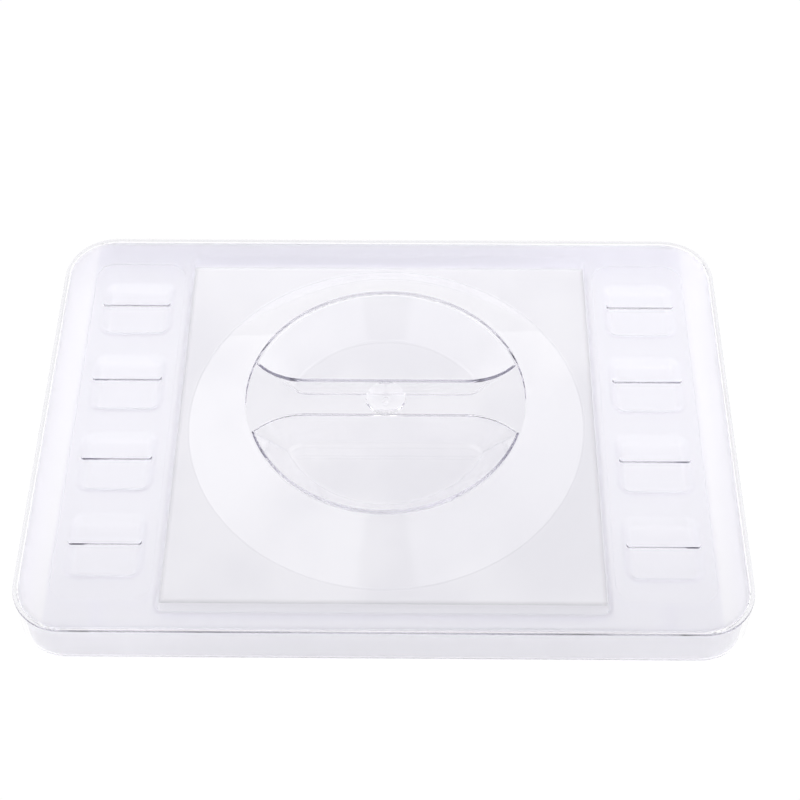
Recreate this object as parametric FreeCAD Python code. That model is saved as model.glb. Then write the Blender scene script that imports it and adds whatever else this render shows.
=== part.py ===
# Wet palette: a tray with two rows of paint wells and a basin between them, a sponge and a
# sheet of palette paper in the basin, and a clear lid with ribs and a round two-finger grip.
# Millimetres. The origin is the centre of the base, +Z is up and +Y points to the back.
import FreeCAD, Part

import math
import os

Vec = FreeCAD.Vector

# Lid: a plate with a skirt that hides the tray
lid_length = 350.0
lid_width = 248.5
lid_corner_radius = 26.0
lid_top = 24.5
lid_wall = 2.0
lid_edge_radius = 1.6
lid_inner_edge_radius = 0.6
lid_foot_gap = 0.4

# Grip: a cone on the lid with two D-shaped finger recesses and a bar between them.
# A recess corner starts to bend away from the bar by its run, and ends its rise away from the bar.
grip_rim_radius = 70.0
grip_flare = 30.5
grip_height = 17.8
grip_ridge = 1.8
grip_edge_radius = 0.7
grip_foot_radius = 1.5
recess_wall_run = 16.2
recess_floor_edge = 2.0
recess_corner_run_top = 24.0
recess_corner_rise_top = 10.0
recess_corner_run_floor = 8.0
recess_corner_rise_floor = 4.0
bar_width = 22.8
bar_draft_angle = 15.5
dimple_margin = 1.9
dimple_depth = 2.8
gate_diameter = 3.0
gate_height = 0.8

# Ribs: low round-ended bars on the lid, one over the middle of every well
rib_length = 35.6
rib_width = 3.3
rib_height = 1.3
rib_edge_radius = 0.9

# Tray: a deck just under the lid, on a wall that stands inside the skirt
skirt_clearance = 0.5
seat_clearance = 0.3
tray_wall = 2.0

# Panel of wells at each end of the tray
panel_side_margin = 14.7
panel_end_margin = 15.75
panel_length = 48.0
panel_corner_radius = 9.5
panel_depth = 1.0
panel_rim_radius = 0.5
well_count = 4
well_gap = 14.3
well_end_gap = 12.55
well_side_gap = 5.5
well_depth = 4.0
well_slope_angle = 45.0
well_floor_corner_radius = 2.0
well_floor_radius = 3.0
well_under_radius = 2.0

# Basin between the panels, which holds the sponge and leaves a water channel at front and back
basin_land = 3.2
basin_end_margin = 9.5
basin_depth = 6.0
basin_slope_angle = 12.0
basin_floor_corner_radius = 2.5
basin_rim_radius = 2.0
basin_floor_radius = 1.5
water_channel = 6.9

# Gussets that stiffen the tray's wall under the deck
gusset_thickness = 1.6
gusset_reach = 14.0
gusset_height = 9.0
front_gusset_spacing = 272.0
back_gusset_spacing = 237.0

# Sponge and palette paper
sponge_side_gap = 2.0
sponge_corner_radius = 2.0
sponge_edge_radius = 0.8
sponge_clearance = 0.2
paper_drop = 2.95
paper_overhang = 2.2
paper_thickness = 0.3
paper_corner_radius = 1.0
paper_clearance = 0.05

# Cutters run past the face that they open by this much
overshoot = 3.0

# Two places nearer than this are the same place
tiny = 0.001

# Sizes that follow from those above
lid_under = lid_top - lid_wall
grip_top = lid_top + grip_height
grip_base_radius = grip_rim_radius + grip_flare
recess_floor = lid_top
recess_rim_radius = grip_rim_radius - grip_ridge
recess_floor_radius = recess_rim_radius - recess_wall_run
dimple_width = bar_width - 2 * dimple_margin
tray_length = lid_length - 2 * (lid_wall + skirt_clearance)
tray_width = lid_width - 2 * (lid_wall + skirt_clearance)
tray_corner_radius = lid_corner_radius - lid_wall - skirt_clearance
deck_top = lid_under - seat_clearance
panel_x = tray_length / 2 - panel_side_margin - panel_length / 2
panel_width = tray_width - 2 * panel_end_margin
panel_floor = deck_top - panel_depth
well_length = panel_length - 2 * well_side_gap
well_width = (panel_width - 2 * well_end_gap - (well_count - 1) * well_gap) / well_count
well_floor = panel_floor - well_depth
well_rim_radius = well_under_radius + tray_wall
basin_length = 2 * panel_x - panel_length - 2 * basin_land
basin_width = tray_width - 2 * basin_end_margin
basin_floor = deck_top - basin_depth
basin_run = basin_depth * math.tan(math.radians(basin_slope_angle))
sponge_length = basin_length - 2 * (basin_run + sponge_side_gap)
sponge_width = basin_width - 2 * (basin_run + water_channel)
sponge_bottom = basin_floor + sponge_clearance
paper_top = deck_top - paper_drop
sponge_top = paper_top - paper_thickness - paper_clearance
well_places = [
    (side * panel_x, (row - (well_count - 1) / 2) * (well_width + well_gap))
    for side in (-1, 1) for row in range(well_count)
]


def rounded_rectangle(length, width, radius, centre):
    """Closed wire of a rectangle with round corners. A side that the corners use up is left out."""
    edges = []
    corners = []
    for quarter in range(4):
        turn = quarter * math.pi / 2
        side_x = 1 if quarter in (0, 3) else -1
        side_y = 1 if quarter in (0, 1) else -1
        hub = centre + Vec(side_x * (length / 2 - radius), side_y * (width / 2 - radius), 0)
        corners.append([
            hub + Vec(radius * math.cos(turn + step), radius * math.sin(turn + step), 0)
            for step in (0, math.pi / 4, math.pi / 2)
        ])
    for corner, following in zip(corners, corners[1:] + corners[:1]):
        edges.append(Part.Arc(*corner).toShape())
        if (following[0] - corner[2]).Length > tiny:
            edges.append(Part.makeLine(corner[2], following[0]))
    return Part.Wire(edges)


def slab(length, width, radius, bottom, top, x=0.0, y=0.0):
    """Upright block with round corners in plan."""
    outline = rounded_rectangle(length, width, radius, Vec(x, y, bottom))
    return Part.Face(outline).extrude(Vec(0, 0, top - bottom))


def edges_at(shape, height, reach_x=math.inf, reach_y=math.inf, x=0.0, y=0.0):
    """Edges that lie flat at one height and within a reach of x, y in each direction."""
    found = []
    for edge in shape.Edges:
        box = edge.BoundBox
        flat = max(abs(box.ZMin - height), abs(box.ZMax - height)) < tiny
        near_x = max(abs(box.XMin - x), abs(box.XMax - x)) < reach_x + tiny
        near_y = max(abs(box.YMin - y), abs(box.YMax - y)) < reach_y + tiny
        if flat and near_x and near_y:
            found.append(edge)
    return found


def soft_top_slab(length, width, radius, bottom, top, edge_radius):
    """Block whose top edge is rounded all the way round."""
    block = slab(length, width, radius, bottom, top)
    return block.makeFillet(edge_radius, edges_at(block, top))


def drafted_pocket(length, width, floor_corner, top, floor, lean, x=0.0, y=0.0):
    """Pocket of that length and width at its top, whose walls lean out, in mm per mm of height.

    Its corners are round, with the given radius at the floor, and its walls run on above the top.
    """
    def outline(height):
        grow = (height - top) * lean
        corner = floor_corner + (height - floor) * lean
        return rounded_rectangle(length + 2 * grow, width + 2 * grow, corner, Vec(x, y, height))

    return Part.makeLoft([outline(floor), outline(top + overshoot)], True, True)


def recess_outline(height, grow):
    """D-shaped section of the back finger recess, grown outwards by a wall where one is asked for.

    The bar's side is a straight chord. At each end it bends away and meets the round wall at an angle.
    """
    share = (height - recess_floor) / (grip_top - recess_floor)
    wall_angle = math.atan2(grip_top - recess_floor, recess_wall_run)
    draft = math.radians(bar_draft_angle)
    radius = recess_floor_radius + share * recess_wall_run
    chord = bar_width / 2 + (grip_top - height) * math.tan(draft)
    run = recess_corner_run_floor + share * (recess_corner_run_top - recess_corner_run_floor)
    rise = recess_corner_rise_floor + share * (recess_corner_rise_top - recess_corner_rise_floor)
    bend = (run ** 2 + rise ** 2) / (2 * rise)
    hub = Vec(math.sqrt(radius ** 2 - (chord + rise) ** 2) - run, chord + bend, 0)

    radius += grow / math.sin(wall_angle)
    bend += grow / math.cos(draft)
    along = (radius ** 2 - bend ** 2 + hub.Length ** 2) / (2 * hub.Length)
    aside = math.sqrt(radius ** 2 - along ** 2)
    tip = (hub * along + Vec(hub.y, -hub.x, 0) * aside) / hub.Length
    halfway = (math.atan2(tip.y - hub.y, tip.x - hub.x) - math.pi / 2) / 2

    def place(side, x, y):
        return Vec(side * x, y, height)

    left_foot, right_foot = [place(side, hub.x, hub.y - bend) for side in (-1, 1)]
    left_tip, right_tip = [place(side, tip.x, tip.y) for side in (-1, 1)]
    left_middle, right_middle = [
        place(side, hub.x + bend * math.cos(halfway), hub.y + bend * math.sin(halfway)) for side in (-1, 1)
    ]
    return Part.Wire([
        Part.makeLine(left_foot, right_foot),
        Part.Arc(right_foot, right_middle, right_tip).toShape(),
        Part.Arc(right_tip, Vec(0, radius, height), left_tip).toShape(),
        Part.Arc(left_tip, left_middle, left_foot).toShape(),
    ])


def finger_recesses(grow):
    """Both finger recesses, as cutters, or as the blocks that hold their walls when grown."""
    sections = [recess_outline(recess_floor - grow, grow), recess_outline(grip_top + overshoot, grow)]
    back = Part.makeLoft(sections, True, True)
    back = back.makeFillet(recess_floor_edge + grow, edges_at(back, recess_floor - grow))
    front = back.mirror(Vec(0, 0, 0), Vec(0, 1, 0))
    return [back, front]


def dimple_ball(grow):
    """Ball that hollows the thumb dimple in the middle of the bar."""
    radius = (dimple_width ** 2 / 4 + dimple_depth ** 2) / (2 * dimple_depth)
    return Part.makeSphere(radius + grow, Vec(0, 0, grip_top - dimple_depth + radius))


def lid_skin():
    """The lid's outside, as a full block."""
    plate = soft_top_slab(lid_length, lid_width, lid_corner_radius, lid_foot_gap, lid_top, lid_edge_radius)
    cone = Part.makeCone(grip_base_radius, grip_rim_radius, grip_height, Vec(0, 0, lid_top))
    skin = plate.fuse(cone).cut(finger_recesses(0.0) + [dimple_ball(0.0)]).removeSplitter()
    skin = skin.makeFillet(grip_edge_radius, edges_at(skin, grip_top))
    foot_ring = [
        edge for edge in edges_at(skin, lid_top)
        if abs(getattr(edge.Curve, "Radius", 0.0) - grip_base_radius) < tiny
    ]
    return skin.makeFillet(grip_foot_radius, foot_ring)


def lid_hollow():
    """The space under the lid's walls."""
    room = soft_top_slab(
        lid_length - 2 * lid_wall, lid_width - 2 * lid_wall, lid_corner_radius - lid_wall,
        -overshoot, lid_under, lid_inner_edge_radius,
    )
    spread = grip_flare / grip_height
    sink = lid_wall * math.hypot(grip_flare, grip_height) / grip_flare
    low = lid_under - overshoot
    high = grip_top - lid_wall
    cone_low, cone_high = [grip_base_radius - (height + sink - lid_top) * spread for height in (low, high)]
    cone = Part.makeCone(cone_low, cone_high, high - low, Vec(0, 0, low))
    return room.fuse(cone).cut(finger_recesses(lid_wall) + [dimple_ball(lid_wall)])


def ribs():
    """Ribs on the lid, sunk into its plate."""
    top = lid_top + rib_height
    bars = []
    for x, y in well_places:
        bar = slab(rib_length, rib_width, rib_width / 2, lid_top - lid_wall / 2, top, x, y)
        bars.append(bar.makeFillet(rib_edge_radius, edges_at(bar, top)))
    return bars


def make_lid():
    gate_foot = grip_top - dimple_depth - lid_wall / 2
    gate = Part.makeCylinder(gate_diameter / 2, gate_height + lid_wall / 2, Vec(0, 0, gate_foot))
    return lid_skin().cut(lid_hollow()).fuse(ribs() + [gate]).removeSplitter()


def walled_pocket(length, width, floor_corner, floor_edge, top, floor, angle, grow, x=0.0, y=0.0):
    """Pocket with leaning walls and a round floor edge, or the block that holds its walls when grown."""
    slope = math.radians(angle)
    spread = grow / math.cos(slope) - grow * math.tan(slope)
    pocket = drafted_pocket(
        length + 2 * spread, width + 2 * spread, floor_corner + spread,
        top - grow, floor - grow, math.tan(slope), x, y,
    )
    return pocket.makeFillet(floor_edge + grow, edges_at(pocket, floor - grow))


def tray_pockets(grow):
    """What is hollowed out of the tray's top, or the blocks that hold its walls when grown."""
    pockets = [walled_pocket(
        basin_length, basin_width, basin_floor_corner_radius, basin_floor_radius,
        deck_top, basin_floor, basin_slope_angle, grow,
    )]
    for side in (-1, 1):
        pockets.append(slab(
            panel_length + 2 * grow, panel_width + 2 * grow, panel_corner_radius + grow,
            panel_floor - grow, deck_top + overshoot, side * panel_x,
        ))
    for x, y in well_places:
        pockets.append(walled_pocket(
            well_length, well_width, well_floor_corner_radius, well_floor_radius,
            panel_floor, well_floor, well_slope_angle, grow, x, y,
        ))
    return pockets


def well_rims(shape, height):
    """Edges where the wells open into a face at one height."""
    reach = tray_wall / 2
    return [
        edge for x, y in well_places
        for edge in edges_at(shape, height, well_length / 2 + reach, well_width / 2 + reach, x, y)
    ]


def gussets():
    """Upright webs between the tray's front and back walls and the underside of the deck."""
    sunk = tray_wall / 2
    reach = gusset_reach + sunk
    height = gusset_height + sunk
    outer_y = tray_width / 2 - sunk
    bottom = deck_top - tray_wall - gusset_height
    webs = []
    for spacing, y in ((front_gusset_spacing, -outer_y), (back_gusset_spacing, outer_y - reach)):
        for side in (-1, 1):
            corner = Vec(side * spacing / 2 - gusset_thickness / 2, y, bottom)
            webs.append(Part.makeBox(gusset_thickness, reach, height, corner))
    return webs


def tray_skin():
    """The tray's outside and top, as a full block."""
    block = soft_top_slab(tray_length, tray_width, tray_corner_radius, 0.0, deck_top, lid_inner_edge_radius)
    skin = block.cut(tray_pockets(0.0)).removeSplitter()
    skin = skin.makeFillet(well_rim_radius, well_rims(skin, panel_floor))
    skin = skin.makeFillet(basin_rim_radius, edges_at(skin, deck_top, basin_length / 2, basin_width / 2))
    for side in (-1, 1):
        rim = edges_at(skin, deck_top, panel_length / 2, panel_width / 2, side * panel_x)
        skin = skin.makeFillet(panel_rim_radius, rim)
    return skin


def tray_hollow():
    """The space under the tray's deck."""
    room = slab(
        tray_length - 2 * tray_wall, tray_width - 2 * tray_wall, tray_corner_radius - tray_wall,
        -overshoot, deck_top - tray_wall,
    )
    hollow = room.cut(tray_pockets(tray_wall)).removeSplitter()
    return hollow.makeFillet(well_under_radius, well_rims(hollow, panel_floor - tray_wall))


def make_tray():
    return tray_skin().cut(tray_hollow()).fuse(gussets()).removeSplitter()


def make_sponge():
    block = slab(sponge_length, sponge_width, sponge_corner_radius, sponge_bottom, sponge_top)
    rims = edges_at(block, sponge_bottom) + edges_at(block, sponge_top)
    return block.makeFillet(sponge_edge_radius, rims)


def make_paper():
    return slab(
        sponge_length + 2 * paper_overhang, sponge_width + 2 * paper_overhang, paper_corner_radius,
        paper_top - paper_thickness, paper_top,
    )


os.makedirs("parts", exist_ok=True)
pieces = {
    "lid": make_lid(),
    "tray": make_tray(),
    "sponge": make_sponge(),
    "palette_paper": make_paper(),
}
for name, shape in pieces.items():
    shape.exportStep("parts/" + name + ".step")
    print(name, shape.isValid(), len(shape.Solids), round(shape.Volume / 1000, 1), "cm3")
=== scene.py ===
import bmesh
import bpy
import math
from mathutils import Matrix, Vector, noise


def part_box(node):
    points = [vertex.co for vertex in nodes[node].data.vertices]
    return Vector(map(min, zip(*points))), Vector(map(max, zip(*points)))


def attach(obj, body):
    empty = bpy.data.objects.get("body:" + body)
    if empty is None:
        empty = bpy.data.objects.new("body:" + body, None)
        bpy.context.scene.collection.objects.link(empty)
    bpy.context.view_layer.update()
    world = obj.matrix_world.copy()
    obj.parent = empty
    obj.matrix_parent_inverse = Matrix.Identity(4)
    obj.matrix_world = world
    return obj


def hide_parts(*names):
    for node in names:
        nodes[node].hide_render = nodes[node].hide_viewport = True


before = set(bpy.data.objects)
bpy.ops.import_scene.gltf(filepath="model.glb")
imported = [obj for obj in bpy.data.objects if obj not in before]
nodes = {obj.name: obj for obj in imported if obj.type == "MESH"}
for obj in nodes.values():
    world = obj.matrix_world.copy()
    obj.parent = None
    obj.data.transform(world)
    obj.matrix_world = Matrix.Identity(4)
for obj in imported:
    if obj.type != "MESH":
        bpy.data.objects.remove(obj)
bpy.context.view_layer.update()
scene = bpy.context.scene
mm = 0.001
print("frame:", ", ".join(sorted(nodes)))


def linearColour(hexColour):
    channels = [int(hexColour[i:i + 2], 16) / 255 for i in (1, 3, 5)]
    linear = [c / 12.92 if c <= 0.04045 else ((c + 0.055) / 1.055) ** 2.4 for c in channels]
    return (*linear, 1.0)


def addNode(tree, kind, settings=None, links=None):
    # settings name the node's own properties or its sockets, links name its sockets
    node = tree.nodes.new(kind)
    for name, value in (settings or {}).items():
        if isinstance(name, str) and hasattr(node, name):
            setattr(node, name, value)
        else:
            node.inputs[name].default_value = value
    for name, source in (links or {}).items():
        tree.links.new(source, node.inputs[name])
    return node


def newMaterial(name):
    material = bpy.data.materials.new(name)
    material.use_nodes = True
    tree = material.node_tree
    tree.nodes.clear()
    return material, tree, addNode(tree, "ShaderNodeOutputMaterial")


def roundedCover(tree, place, half, corner, soft=1):
    # one inside a rounded rectangle round the middle, sizes in mm, and nought past its soft edge
    flat = addNode(tree, "ShaderNodeVectorMath", {"operation": "MULTIPLY", 1: (1, 1, 0)},
                   {0: place.outputs["Object"]})
    quarter = addNode(tree, "ShaderNodeVectorMath", {"operation": "ABSOLUTE"}, {0: flat.outputs[0]})
    past = addNode(tree, "ShaderNodeVectorMath", {
        "operation": "SUBTRACT", 1: ((half[0] - corner) * mm, (half[1] - corner) * mm, 0),
    }, {0: quarter.outputs[0]})
    beyond = addNode(tree, "ShaderNodeVectorMath", {"operation": "MAXIMUM", 1: (0, 0, 0)},
                     {0: past.outputs[0]})
    away = addNode(tree, "ShaderNodeVectorMath", {"operation": "LENGTH"}, {0: beyond.outputs[0]})
    return addNode(tree, "ShaderNodeMapRange", {
        "From Min": (corner - soft) * mm, "From Max": (corner + soft) * mm,
        "To Min": 1.0, "To Max": 0.0,
    }, {"Value": away.outputs["Value"]})


def newPiece(name, bm, material):
    mesh = bpy.data.meshes.new(name)
    bm.to_mesh(mesh)
    bm.free()
    mesh.materials.append(material)
    piece = bpy.data.objects.new(name, mesh)
    scene.collection.objects.link(piece)
    return piece


def smoothStep(low, high, value):
    share = min(max((value - low) / (high - low), 0.0), 1.0)
    return share * share * (3 - 2 * share)


# Clear polystyrene, injection moulded: a strong bend of light, and a violet grey cast that deepens
# where the eye looks along a wall. The lid is polished, and the tray has a satin face that blurs
# what shows through it.
polystyrene = {
    "ior": 1.59,
    "roughness": {"lid": 0.012, "tray": 0.55},
    "waveSize": 38,          # mm, sink and flow waves of the moulding
    "waveHeight": 0.02,      # mm
    "waveDetail": 1.0,
    "depthTint": "#A19CB8",
    "depthDensity": {"lid": 7, "tray": 6},      # per metre
    "shoulderTint": "#FBFAFD",
    "deckTint": "#EFEEF5",
    "deckHalf": (158.5, 130),                   # mm
    "deckCorner": 12,        # mm
    "wallTop": 19.5,         # mm
}


def makePolystyrene(node):
    look = polystyrene
    material, tree, output = newMaterial(node + "Polystyrene")
    place = addNode(tree, "ShaderNodeTexCoord")
    waves = addNode(tree, "ShaderNodeTexNoise",
                    {"Scale": 1 / (look["waveSize"] * mm), "Detail": look["waveDetail"]},
                    {"Vector": place.outputs["Object"]})
    bump = addNode(tree, "ShaderNodeBump", {"Strength": 1.0, "Distance": look["waveHeight"] * mm},
                   {"Height": waves.outputs[0]})
    links = {"Normal": bump.outputs[0]}
    if node == "tray":
        # its deck, wells and walls are a shade darker than the shoulders beside the deck
        inDeck = roundedCover(tree, place, look["deckHalf"], look["deckCorner"])
        spot = addNode(tree, "ShaderNodeSeparateXYZ", {}, {0: place.outputs["Object"]})
        below = addNode(tree, "ShaderNodeMath", {"operation": "LESS_THAN", 1: look["wallTop"] * mm},
                        {0: spot.outputs["Z"]})
        tinted = addNode(tree, "ShaderNodeMath", {"operation": "MAXIMUM"},
                         {0: inDeck.outputs[0], 1: below.outputs[0]})
        tint = addNode(tree, "ShaderNodeMix", {
            "data_type": "RGBA",
            6: linearColour(look["shoulderTint"]),
            7: linearColour(look["deckTint"]),
        }, {"Factor": tinted.outputs[0]})
        links["Base Color"] = tint.outputs[2]
    plastic = addNode(tree, "ShaderNodeBsdfPrincipled", {
        "Base Color": (1, 1, 1, 1),
        "IOR": look["ior"],
        "Roughness": look["roughness"][node],
        "Transmission Weight": 1.0,
    }, links)
    # lamps and bounced light pass straight through, so that the inside is lit
    lampPass = addNode(tree, "ShaderNodeBsdfTransparent", {"Color": (1, 1, 1, 1)})
    ray = addNode(tree, "ShaderNodeLightPath")
    passing = addNode(tree, "ShaderNodeMath", {"operation": "MAXIMUM"}, {
        0: ray.outputs["Is Shadow Ray"], 1: ray.outputs["Is Diffuse Ray"]})
    mix = addNode(tree, "ShaderNodeMixShader", {}, {
        0: passing.outputs[0], 1: plastic.outputs[0], 2: lampPass.outputs[0]})
    depth = addNode(tree, "ShaderNodeVolumeAbsorption", {
        "Color": linearColour(look["depthTint"]), "Density": look["depthDensity"][node]})
    tree.links.new(mix.outputs[0], output.inputs["Surface"])
    tree.links.new(depth.outputs[0], output.inputs["Volume"])
    return material


for name in ("lid", "tray"):
    plastic = makePolystyrene(name)
    for slot in nodes[name].material_slots:
        slot.material = plastic
print("plastic set")


# Cellulose sponge: a thin open-pored sheet, near white, its sides drawn in between the corners,
# with painted shade in its fine pores
spongeLook = {
    "colour": "#F1F0F2",
    "poreShadeColour": "#D9D6D8",
    "pointGap": 1.5,         # mm
    "edgeRadius": 0.8,       # mm
    "drawIn": 0.4,           # mm
    "poreSize": 4.5,         # mm
    "poreDepth": 0.7,        # mm
    "poreEdge": (0.1, 0.5),
    "finePoreSize": 1.4,     # mm
    "finePoreDepth": 0.4,    # mm
    "finePoreEdge": (0.15, 0.5),
    "roughness": 0.95,
    "fill": 0.9,
}


def makeSpongeMaterial():
    look = spongeLook
    material, tree, output = newMaterial("celluloseSponge")
    place = addNode(tree, "ShaderNodeTexCoord")
    pores = addNode(tree, "ShaderNodeTexVoronoi", {"Scale": 1 / (look["finePoreSize"] * mm)},
                    {"Vector": place.outputs["Object"]})
    start, end = look["finePoreEdge"]
    walls = addNode(tree, "ShaderNodeMapRange",
                    {"interpolation_type": "SMOOTHSTEP", "From Min": start, "From Max": end},
                    {"Value": pores.outputs["Distance"]})
    # painted shade: the fine pore hollows are coloured a darker grey than the pore walls
    colour = addNode(tree, "ShaderNodeMix", {
        "data_type": "RGBA",
        6: linearColour(look["poreShadeColour"]),
        7: linearColour(look["colour"]),
    }, {"Factor": walls.outputs[0]})
    bump = addNode(tree, "ShaderNodeBump", {"Distance": look["finePoreDepth"] * mm},
                   {"Height": walls.outputs[0]})
    body = addNode(tree, "ShaderNodeBsdfPrincipled", {"Roughness": look["roughness"]},
                   {"Base Color": colour.outputs[2], "Normal": bump.outputs[0]})
    tree.links.new(body.outputs[0], output.inputs["Surface"])
    return material


def makeSponge():
    look = spongeLook
    low, high = [Vector(corner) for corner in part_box("sponge")]
    centre, size = (low + high) / 2, high - low
    radius, gap = look["edgeRadius"] * mm, look["pointGap"] * mm
    bm = bmesh.new()
    bmesh.ops.create_cube(bm, size=1.0, matrix=Matrix.Diagonal((*size, 1)))
    for axis in range(3):
        along = [e for e in bm.edges if abs(e.verts[0].co[axis] - e.verts[1].co[axis]) > gap]
        bmesh.ops.subdivide_edges(bm, edges=along, cuts=int(size[axis] / gap), use_grid_fill=True)
    for vert in bm.verts:
        core = Vector([max(radius - s / 2, min(s / 2 - radius, c)) for c, s in zip(vert.co, size)])
        out = (vert.co - core).normalized()
        across = [1 - (2 * c / s) ** 2 for c, s in zip(core, size)]
        drawn = look["drawIn"] * mm * (abs(out.x) * across[1] + abs(out.y) * across[0])
        pore = noise.voronoi(vert.co / (look["poreSize"] * mm))[0][0]
        dent = look["poreDepth"] * mm * (1 - smoothStep(*look["poreEdge"], pore))
        vert.co = centre + core + out * (radius - drawn - dent)
    sponge = newPiece("cellulose_sponge", bm, makeSpongeMaterial())
    sponge.data.shade_smooth()
    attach(sponge, "tray")
    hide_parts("sponge")


# Palette paper: a damp sheet of parchment, pale grey, a little cockled where it has drunk water
paperLook = {
    "colour": "#D6D5DA",
    "dampColour": "#D0CFD5",
    "dampSize": 60,          # mm
    "dampDetail": 3.0,
    "dampEdge": (0.35, 0.65),
    "dryRoughness": 0.75,
    "dampRoughness": 0.5,
    "fibreSize": 1.2,        # mm, coarser than real fibres so that they show
    "fibreDepth": 0.02,      # mm
    "fibreDetail": 2.0,
    "pointGap": 2.5,         # mm
    "thickness": 0.12,       # mm
    "cockleSize": 45,        # mm
    "cockleHeight": 0.35,    # mm
}


def makePaperMaterial():
    look = paperLook
    material, tree, output = newMaterial("dampParchment")
    place = addNode(tree, "ShaderNodeTexCoord")
    damp = addNode(tree, "ShaderNodeTexNoise",
                   {"Scale": 1 / (look["dampSize"] * mm), "Detail": look["dampDetail"]},
                   {"Vector": place.outputs["Object"]})
    start, end = look["dampEdge"]
    patches = addNode(tree, "ShaderNodeMapRange",
                      {"interpolation_type": "SMOOTHSTEP", "From Min": start, "From Max": end},
                      {"Value": damp.outputs[0]})
    colour = addNode(tree, "ShaderNodeMix", {
        "data_type": "RGBA",
        6: linearColour(look["colour"]),
        7: linearColour(look["dampColour"]),
    }, {"Factor": patches.outputs[0]})
    gloss = addNode(tree, "ShaderNodeMapRange",
                    {"To Min": look["dryRoughness"], "To Max": look["dampRoughness"]},
                    {"Value": patches.outputs[0]})
    fibres = addNode(tree, "ShaderNodeTexNoise",
                     {"Scale": 1 / (look["fibreSize"] * mm), "Detail": look["fibreDetail"]},
                     {"Vector": place.outputs["Object"]})
    bump = addNode(tree, "ShaderNodeBump", {"Distance": look["fibreDepth"] * mm},
                   {"Height": fibres.outputs[0]})
    sheet = addNode(tree, "ShaderNodeBsdfPrincipled", {}, {
        "Base Color": colour.outputs[2], "Roughness": gloss.outputs[0], "Normal": bump.outputs[0]})
    tree.links.new(sheet.outputs[0], output.inputs["Surface"])
    return material


def makePaper():
    look = paperLook
    low, high = [Vector(corner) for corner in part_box("palette_paper")]
    centre, size = (low + high) / 2, high - low
    across, along = [round(s / (look["pointGap"] * mm)) for s in size[:2]]
    bm = bmesh.new()
    bmesh.ops.create_grid(bm, x_segments=across, y_segments=along, size=0.5,
                          matrix=Matrix.Translation(centre) @ Matrix.Diagonal((*size[:2], 1, 1)))
    for vert in bm.verts:
        swell = (noise.noise(vert.co / (look["cockleSize"] * mm)) + 1) / 2
        vert.co.z = low.z + look["cockleHeight"] * mm * swell
    paper = newPiece("parchment_sheet", bm, makePaperMaterial())
    paper.data.shade_smooth()
    skin = paper.modifiers.new("thickness", "SOLIDIFY")
    skin.thickness = look["thickness"] * mm
    skin.offset = 1.0
    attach(paper, "tray")
    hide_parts("palette_paper")


makeSponge()
makePaper()
print("sponge and paper laid")


# White light table, just under the base, with a painted shadow in its glow where the palette covers
# it, deepest towards the front
floorLook = {
    "size": 30.0,            # m
    "drop": 0.1,             # mm
    "glow": 1.02,
    # how far the painted shadow dims the glow under the palette
    "shade": 0.22,
    "shadeFront": -120,      # mm
    "shadeBack": 90,         # mm
    "shadePower": 3.0,
    "coverHalf": (172.5, 121.5),     # mm
    "coverCorner": 25,       # mm
}


def makeFloor():
    look = floorLook
    material, tree, output = newMaterial("lightTable")
    place = addNode(tree, "ShaderNodeTexCoord")
    spot = addNode(tree, "ShaderNodeSeparateXYZ", {}, {0: place.outputs["Object"]})
    forward = addNode(tree, "ShaderNodeMapRange",
                      {"From Min": look["shadeBack"] * mm, "From Max": look["shadeFront"] * mm},
                      {"Value": spot.outputs["Y"]})
    falling = addNode(tree, "ShaderNodeMath", {"operation": "POWER", 1: look["shadePower"]},
                      {0: forward.outputs[0]})
    # painted shadow: the glow is turned down inside the palette's footprint, most at the front
    covered = roundedCover(tree, place, look["coverHalf"], look["coverCorner"])
    paintedShadow = addNode(tree, "ShaderNodeMath", {"operation": "MULTIPLY"},
                     {0: falling.outputs[0], 1: covered.outputs[0]})
    glow = addNode(tree, "ShaderNodeMapRange",
                   {"To Min": look["glow"], "To Max": look["glow"] - look["shade"]},
                   {"Value": paintedShadow.outputs[0]})
    lit = addNode(tree, "ShaderNodeEmission", {"Color": (1, 1, 1, 1)},
                  {"Strength": glow.outputs[0]})
    tree.links.new(lit.outputs[0], output.inputs["Surface"])
    bm = bmesh.new()
    bmesh.ops.create_grid(bm, x_segments=1, y_segments=1, size=look["size"] / 2)
    bmesh.ops.translate(bm, verts=bm.verts, vec=(0, 0, -look["drop"] * mm))
    newPiece("floor", bm, material)


# Soft light: pale screens at both sides and low behind, a dim gap behind the camera, a dim ceiling
# and a darker front near the floor, which gives walls seen from behind some tone.
lightLook = {
    "frontSides": 1.285,
    "backSides": 1.51,
    "backLow": 1.25,
    "dim": 0.845,
    "frontLowShare": 0.45,
    # where each part of the room begins and is full, on the sideways, upward or backward direction
    "edges": {
        "frontSides": (0.24, 0.40),
        "backSides": (0.55, 0.85),
        "backHigh": (0.5, 0.9),
        "back": (-0.2, 0.2),
        "frontHigh": (0.1, 0.45),
    },
}


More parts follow.
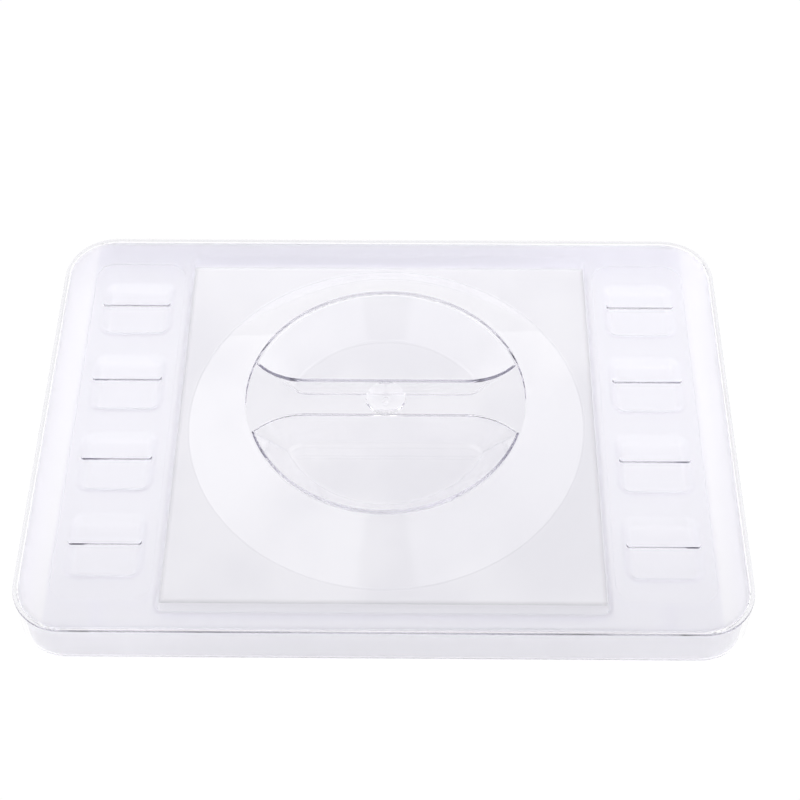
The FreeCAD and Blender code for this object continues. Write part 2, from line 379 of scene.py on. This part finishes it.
def makeLight():
    look = lightLook
    world = bpy.data.worlds.new("studio")
    scene.world = world
    world.use_nodes = True
    tree = world.node_tree
    tree.nodes.clear()
    direction = addNode(tree, "ShaderNodeTexCoord")
    height = addNode(tree, "ShaderNodeSeparateXYZ", {}, {0: direction.outputs["Generated"]})
    flat = addNode(tree, "ShaderNodeVectorMath", {"operation": "MULTIPLY", 1: (1, 1, 0)},
                   {0: direction.outputs["Generated"]})
    heading = addNode(tree, "ShaderNodeVectorMath", {"operation": "NORMALIZE"},
                      {0: flat.outputs[0]})
    bearing = addNode(tree, "ShaderNodeSeparateXYZ", {}, {0: heading.outputs[0]})
    aside = addNode(tree, "ShaderNodeMath", {"operation": "ABSOLUTE"}, {0: bearing.outputs["X"]})
    shares = {}
    for name, source in (("frontSides", aside.outputs[0]), ("backSides", aside.outputs[0]),
                         ("backHigh", height.outputs["Z"]), ("back", bearing.outputs["Y"]),
                         ("frontHigh", height.outputs["Z"])):
        start, end = look["edges"][name]
        share = addNode(tree, "ShaderNodeMapRange",
                        {"interpolation_type": "SMOOTHSTEP", "From Min": start, "From Max": end},
                        {"Value": source})
        shares[name] = share.outputs[0]
    front = addNode(tree, "ShaderNodeMix", {"A": look["dim"], "B": look["frontSides"]},
                    {"Factor": shares["frontSides"]})
    lowBand = addNode(tree, "ShaderNodeMix", {"A": look["frontLowShare"], "B": 1.0},
                      {"Factor": shares["frontHigh"]})
    frontLow = addNode(tree, "ShaderNodeMath", {"operation": "MULTIPLY"},
                       {0: front.outputs[0], 1: lowBand.outputs[0]})
    backLow = addNode(tree, "ShaderNodeMix", {"A": look["backLow"], "B": look["dim"]},
                      {"Factor": shares["backHigh"]})
    back = addNode(tree, "ShaderNodeMix", {"B": look["backSides"]},
                   {"Factor": shares["backSides"], "A": backLow.outputs[0]})
    glow = addNode(tree, "ShaderNodeMix", {},
                   {"Factor": shares["back"], "A": frontLow.outputs[0], "B": back.outputs[0]})
    sky = addNode(tree, "ShaderNodeBackground", {"Color": (1, 1, 1, 1)},
                  {"Strength": glow.outputs[0]})
    output = addNode(tree, "ShaderNodeOutputWorld")
    tree.links.new(sky.outputs[0], output.inputs["Surface"])


# A soft lamp behind, that lights the back of the sheet more than its front
lampLook = {
    "place": (-20, 350, 300),        # mm
    "aim": (0, 40, 20),      # mm
    "size": 250,             # mm
    "power": 0.45,           # watts
}


def makeLamp():
    look = lampLook
    data = bpy.data.lights.new("lamp", "AREA")
    data.energy = look["power"]
    data.size = look["size"] * mm
    lamp = bpy.data.objects.new("lamp", data)
    place, aim = Vector(look["place"]) * mm, Vector(look["aim"]) * mm
    turn = (place - aim).to_track_quat("Z", "Y").to_matrix().to_4x4()
    lamp.matrix_world = Matrix.Translation(place) @ turn
    lamp.visible_camera = lamp.visible_glossy = lamp.visible_transmission = False
    scene.collection.objects.link(lamp)


# Camera at the photograph's angle
cameraLook = {
    "target": (6.852, 16.985, 18.0),     # mm
    "distance": 888.49,      # mm
    "azimuth": 0.738,        # degrees
    "elevation": 52.071,     # degrees
    "roll": -0.263,          # degrees
    "lens": 77.67,           # mm
    "sensor": 36.0,          # mm
}


def makeCamera():
    look = cameraLook
    azimuth, elevation, roll = [math.radians(look[k]) for k in ("azimuth", "elevation", "roll")]
    back = Vector((math.sin(azimuth) * math.cos(elevation),
                   -math.cos(azimuth) * math.cos(elevation), math.sin(elevation)))
    turn = back.to_track_quat("Z", "Y").to_matrix().to_4x4()
    data = bpy.data.cameras.new("camera")
    data.lens = look["lens"]
    data.sensor_width = look["sensor"]
    camera = bpy.data.objects.new("camera", data)
    target = Vector(look["target"]) * mm
    place = Matrix.Translation(target + back * look["distance"] * mm)
    camera.matrix_world = place @ turn @ Matrix.Rotation(roll, 4, "Z")
    scene.collection.objects.link(camera)
    scene.camera = camera


makeFloor()
makeLight()
makeLamp()
makeCamera()
scene.view_settings.view_transform = "Standard"
# light runs far along clear walls before it leaves them
bounces = 160
scene.cycles.max_bounces = bounces
scene.cycles.transmission_bounces = bounces
scene.cycles.glossy_bounces = bounces
scene.cycles.transparent_max_bounces = bounces
scene.cycles.caustics_refractive = False
scene.cycles.caustics_reflective = False
print("stage, light and camera set")
